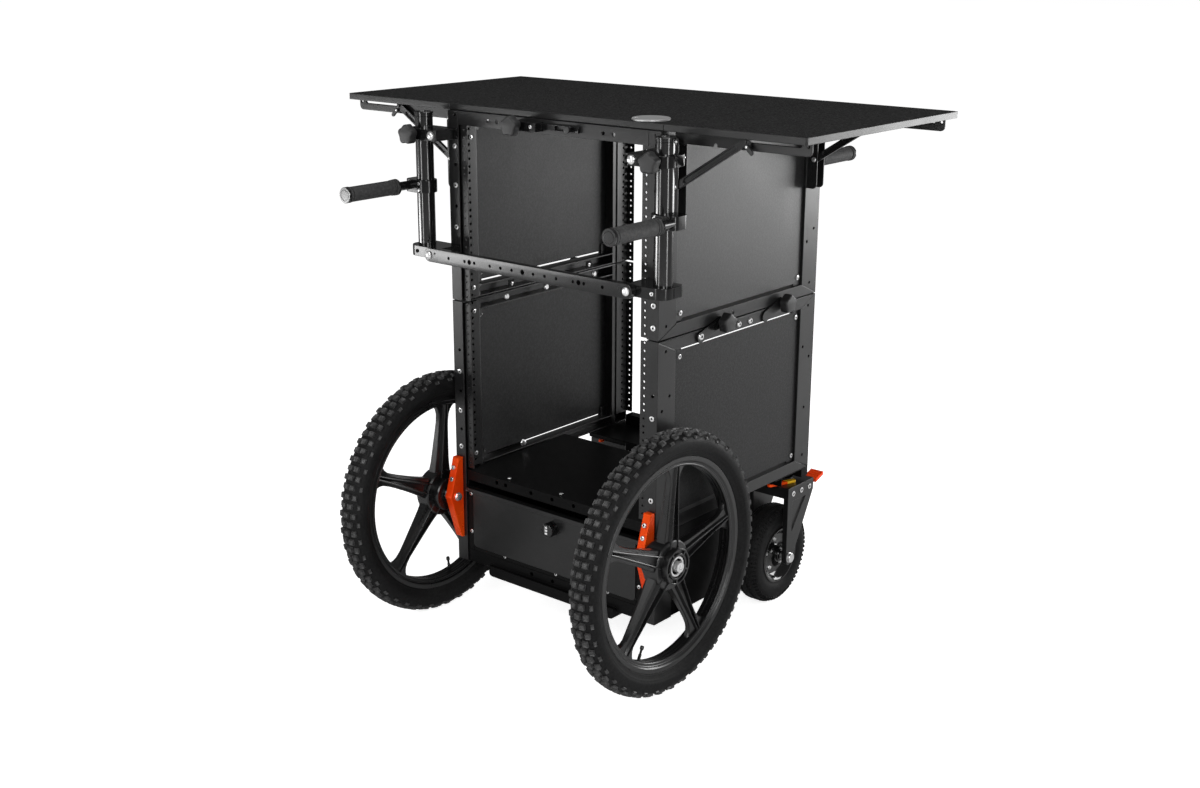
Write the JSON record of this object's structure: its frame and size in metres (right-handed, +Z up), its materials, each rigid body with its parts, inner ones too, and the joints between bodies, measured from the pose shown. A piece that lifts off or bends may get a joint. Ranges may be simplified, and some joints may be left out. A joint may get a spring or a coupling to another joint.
{
  "type": "rack workstation cart",
  "caption": "Rolling equipment cart with an open rack frame, folding table leaves, push handles, a drawer, large spoked front wheels and swivel casters with brakes.",
  "frame": {"origin": "on the floor under the middle of the cart's whole box", "axes": "+Z up, +Y from the front of the racks to the rear casters, +X to the right seen from the front"},
  "size_m": [1.1456, 0.9677, 1.0976],
  "materials": {
    "powder_coat": "satin black powder coat",
    "panel_coat": "fine-textured black powder coat",
    "black_anodised": "black anodised, satin",
    "orange_anodised": "orange anodised, satin",
    "rubber_grip": "matt moulded grip",
    "tyre_rubber": "matt black rubber",
    "caster_rubber": "matt black rubber on a black hub",
    "wheel_nylon": "moulded black nylon",
    "knob_plastic": "moulded dark grey plastic",
    "carpet_top": "black pressed sheet covered with dark loop carpet",
    "cap_metal": "brushed light metal"
  },
  "bodies": {
    "cart": {"upper_left_frame": "powder_coat", "upper_right_frame": "powder_coat", "lower_left_frame": "powder_coat", "lower_right_frame": "powder_coat", "upper_left_side_panel": "panel_coat", "upper_right_side_panel": "panel_coat", "lower_left_side_panel": "panel_coat", "lower_right_side_panel": "panel_coat", "upper_left_front_rack_rail": "powder_coat", "upper_right_front_rack_rail": "powder_coat", "lower_left_front_rack_rail": "powder_coat", "lower_right_front_rack_rail": "powder_coat", "top_front_beam": "powder_coat", "centre_top": "carpet_top", "left_push_tube": "black_anodised", "right_push_tube": "black_anodised", "left_tube_clamp": "black_anodised", "right_tube_clamp": "black_anodised", "left_rear_handle": "rubber_grip", "right_rear_handle": "rubber_grip", "accessory_bar": "powder_coat", "base_housing": "powder_coat", "rear_chassis": "powder_coat", "left_axle_bracket": "orange_anodised", "right_axle_bracket": "orange_anodised"},
    "cable_cap": {"cable_pass_cap": "cap_metal"},
    "left_leaf": {"left_table_leaf": "carpet_top"},
    "right_leaf": {"right_table_leaf": "carpet_top"},
    "left_front_strut": {"left_front_leaf_strut": "powder_coat"},
    "left_rear_strut": {"left_rear_leaf_strut": "powder_coat"},
    "right_front_strut": {"right_front_leaf_strut": "powder_coat"},
    "right_rear_strut": {"right_rear_leaf_strut": "powder_coat"},
    "left_front_lever": {"left_front_release_lever": "knob_plastic"},
    "left_rear_lever": {"left_rear_release_lever": "knob_plastic"},
    "right_front_lever": {"right_front_release_lever": "knob_plastic"},
    "right_rear_lever": {"right_rear_release_lever": "knob_plastic"},
    "left_clamp_star": {"left_clamp_knob": "knob_plastic"},
    "right_clamp_star": {"right_clamp_knob": "knob_plastic"},
    "left_handle": {"left_front_handle": "rubber_grip"},
    "right_handle": {"right_front_handle": "rubber_grip"},
    "slide": {"accessory_slide": "black_anodised"},
    "slide_star": {"accessory_slide_knob": "knob_plastic"},
    "left_front_star": {"left_front_seam_knob": "knob_plastic"},
    "left_rear_star": {"left_rear_seam_knob": "knob_plastic"},
    "right_front_star": {"right_front_seam_knob": "knob_plastic"},
    "right_rear_star": {"right_rear_seam_knob": "knob_plastic"},
    "drawer_box": {"drawer": "powder_coat"},
    "drawer_lock": {"drawer_lock_knob": "knob_plastic"},
    "left_front_wheel": {"left_front_rim": "wheel_nylon", "left_front_tyre": "tyre_rubber"},
    "right_front_wheel": {"right_front_rim": "wheel_nylon", "right_front_tyre": "tyre_rubber"},
    "left_caster": {"left_caster_fork": "powder_coat"},
    "right_caster": {"right_caster_fork": "powder_coat"},
    "left_rear_wheel": {"left_caster_wheel": "caster_rubber"},
    "right_rear_wheel": {"right_caster_wheel": "caster_rubber"},
    "left_pedal": {"left_brake_pedal": "orange_anodised"},
    "right_pedal": {"right_brake_pedal": "orange_anodised"},
    "left_lock": {"left_swivel_lock": "orange_anodised"},
    "right_lock": {"right_swivel_lock": "orange_anodised"}
  },
  "joints": [
    {"name": "left_front_wheel_spin", "type": "hinge", "parent": "cart", "child": "left_front_wheel", "pos_m": [-0.3097, -0.21985, 0.264], "axis": [1, 0, 0], "continuous": true},
    {"name": "right_front_wheel_spin", "type": "hinge", "parent": "cart", "child": "right_front_wheel", "pos_m": [0.3097, -0.21985, 0.264], "axis": [1, 0, 0], "continuous": true},
    {"name": "left_caster_swivel", "type": "hinge", "parent": "cart", "child": "left_caster", "pos_m": [-0.2275, 0.30615, 0.2725], "axis": [0, 0, 1], "continuous": true},
    {"name": "right_caster_swivel", "type": "hinge", "parent": "cart", "child": "right_caster", "pos_m": [0.2275, 0.30615, 0.2725], "axis": [0, 0, 1], "continuous": true},
    {"name": "left_caster_wheel_spin", "type": "hinge", "parent": "left_caster", "child": "left_rear_wheel", "pos_m": [-0.2275, 0.26915, 0.11], "axis": [1, 0, 0], "continuous": true},
    {"name": "right_caster_wheel_spin", "type": "hinge", "parent": "right_caster", "child": "right_rear_wheel", "pos_m": [0.2275, 0.26915, 0.11], "axis": [1, 0, 0], "continuous": true},
    {"name": "left_brake_press", "type": "hinge", "parent": "left_caster", "child": "left_pedal", "pos_m": [-0.2545, 0.36315, 0.2575], "axis": [-1, 0, 0], "range_deg": [0, 15]},
    {"name": "right_brake_press", "type": "hinge", "parent": "right_caster", "child": "right_pedal", "pos_m": [0.2545, 0.36315, 0.2575], "axis": [-1, 0, 0], "range_deg": [0, 15]},
    {"name": "left_swivel_lock_turn", "type": "hinge", "parent": "left_caster", "child": "left_lock", "pos_m": [-0.249, 0.27265, 0.2728], "axis": [0, 0, 1], "range_deg": [0, 20]},
    {"name": "right_swivel_lock_turn", "type": "hinge", "parent": "right_caster", "child": "right_lock", "pos_m": [0.249, 0.27265, 0.2728], "axis": [0, 0, -1], "range_deg": [0, 20]},
    {"name": "left_leaf_fold", "type": "hinge", "parent": "cart", "child": "left_leaf", "pos_m": [-0.286, 0.074, 1.0605], "axis": [0, -1, 0], "range_deg": [0, 90]},
    {"name": "right_leaf_fold", "type": "hinge", "parent": "cart", "child": "right_leaf", "pos_m": [0.286, 0.074, 1.0605], "axis": [0, 1, 0], "range_deg": [0, 90]},
    {"name": "left_front_strut_swing", "type": "hinge", "parent": "cart", "child": "left_front_strut", "pos_m": [-0.286, -0.17485, 0.9795], "axis": [0, -1, 0], "range_deg": [0, 118]},
    {"name": "left_rear_strut_swing", "type": "hinge", "parent": "cart", "child": "left_rear_strut", "pos_m": [-0.286, 0.29615, 0.9795], "axis": [0, -1, 0], "range_deg": [0, 118]},
    {"name": "right_front_strut_swing", "type": "hinge", "parent": "cart", "child": "right_front_strut", "pos_m": [0.286, -0.17485, 0.9795], "axis": [0, 1, 0], "range_deg": [0, 118]},
    {"name": "right_rear_strut_swing", "type": "hinge", "parent": "cart", "child": "right_rear_strut", "pos_m": [0.286, 0.29615, 0.9795], "axis": [0, 1, 0], "range_deg": [0, 118]},
    {"name": "left_front_lever_squeeze", "type": "hinge", "parent": "left_front_strut", "child": "left_front_lever", "pos_m": [-0.4415, -0.18085, 1.0655], "axis": [0, 1, 0], "range_deg": [0, 20], "stiffness_Nm_per_rad": 0.05},
    {"name": "left_rear_lever_squeeze", "type": "hinge", "parent": "left_rear_strut", "child": "left_rear_lever", "pos_m": [-0.4415, 0.29015, 1.0655], "axis": [0, 1, 0], "range_deg": [0, 20]},
    {"name": "right_front_lever_squeeze", "type": "hinge", "parent": "right_front_strut", "child": "right_front_lever", "pos_m": [0.4415, -0.18085, 1.0655], "axis": [0, -1, 0], "range_deg": [0, 20], "stiffness_Nm_per_rad": 0.05},
    {"name": "right_rear_lever_squeeze", "type": "hinge", "parent": "right_rear_strut", "child": "right_rear_lever", "pos_m": [0.4415, 0.29015, 1.0655], "axis": [0, -1, 0], "range_deg": [0, 20]},
    {"name": "left_clamp_knob_turn", "type": "hinge", "parent": "cart", "child": "left_clamp_star", "pos_m": [-0.305, -0.26615, 1.0355], "axis": [0, -1, 0], "continuous": true},
    {"name": "right_clamp_knob_turn", "type": "hinge", "parent": "cart", "child": "right_clamp_star", "pos_m": [0.305, -0.26615, 1.0355], "axis": [0, -1, 0], "continuous": true},
    {"name": "left_handle_swing", "type": "hinge", "parent": "cart", "child": "left_handle", "pos_m": [-0.305, -0.23485, 0.9285], "axis": [0, 0, -1], "range_deg": [-90, 30]},
    {"name": "right_handle_swing", "type": "hinge", "parent": "cart", "child": "right_handle", "pos_m": [0.305, -0.23485, 0.9285], "axis": [0, 0, 1], "range_deg": [-90, 30]},
    {"name": "accessory_slide_travel", "type": "slide", "parent": "cart", "child": "slide", "axis": [1, 0, 0], "range_m": [0, 0.03]},
    {"name": "accessory_slide_knob_turn", "type": "hinge", "parent": "slide", "child": "slide_star", "pos_m": [-0.062, -0.22645, 1.0675], "axis": [0, -1, 0], "continuous": true},
    {"name": "left_front_seam_knob_turn", "type": "hinge", "parent": "cart", "child": "left_front_star", "pos_m": [-0.2743, -0.00525, 0.6935], "axis": [-1, 0, 0], "continuous": true},
    {"name": "left_rear_seam_knob_turn", "type": "hinge", "parent": "cart", "child": "left_rear_star", "pos_m": [-0.2743, 0.20915, 0.6935], "axis": [-1, 0, 0], "continuous": true},
    {"name": "right_front_seam_knob_turn", "type": "hinge", "parent": "cart", "child": "right_front_star", "pos_m": [0.2743, -0.00525, 0.6935], "axis": [1, 0, 0], "continuous": true},
    {"name": "right_rear_seam_knob_turn", "type": "hinge", "parent": "cart", "child": "right_rear_star", "pos_m": [0.2743, 0.20915, 0.6935], "axis": [1, 0, 0], "continuous": true},
    {"name": "cable_cap_turn", "type": "hinge", "parent": "cart", "child": "cable_cap", "pos_m": [0.214, -0.15935, 1.0931], "axis": [0, 0, 1], "continuous": true},
    {"name": "drawer_travel", "type": "slide", "parent": "cart", "child": "drawer_box", "axis": [0, -1, 0], "range_m": [0, 0.25]},
    {"name": "drawer_lock_turn", "type": "hinge", "parent": "drawer_box", "child": "drawer_lock", "pos_m": [0.006, -0.20315, 0.256], "axis": [0, -1, 0], "range_deg": [0, 90]}
  ],
  "couplings": [
    {"joint": "left_front_strut_swing", "follows": "left_leaf_fold", "ratio": 1.3073},
    {"joint": "left_rear_strut_swing", "follows": "left_leaf_fold", "ratio": 1.3073},
    {"joint": "right_front_strut_swing", "follows": "right_leaf_fold", "ratio": 1.3073},
    {"joint": "right_rear_strut_swing", "follows": "right_leaf_fold", "ratio": 1.3073},
    {"joint": "left_rear_lever_squeeze", "follows": "left_front_lever_squeeze", "ratio": 1},
    {"joint": "right_rear_lever_squeeze", "follows": "right_front_lever_squeeze", "ratio": 1}
  ]
}
